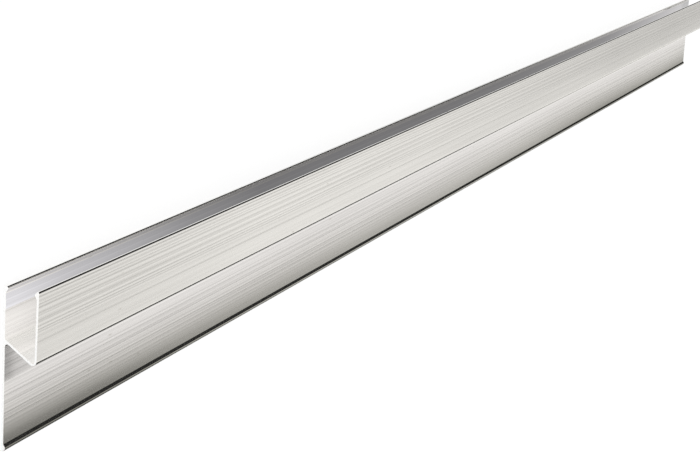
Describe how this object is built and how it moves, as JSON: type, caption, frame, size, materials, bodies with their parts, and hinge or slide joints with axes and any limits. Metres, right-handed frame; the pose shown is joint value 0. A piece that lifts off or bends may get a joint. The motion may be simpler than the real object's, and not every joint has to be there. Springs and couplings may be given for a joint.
{
  "type": "aluminium extrusion profile",
  "caption": "Straight length of mill-finish aluminium extrusion with an h section: a tall thin blade, a short wall in front and a slanting web form an open grip channel; free edges are beaded.",
  "frame": {"origin": "centre of the flat back face of the tall wall, at the middle of the length", "axes": "+X along the length, +Y across the section from the blade's edge towards the open channel, +Z from the back face towards the short wall; the piece lies on its back face"},
  "size_m": [2, 0.1, 0.0232],
  "materials": {
    "mill_aluminium": "mill finish as extruded, fine lines along the length, sawn ends"
  },
  "bodies": {
    "root": {"h_profile": "mill_aluminium"}
  },
  "joints": []
}
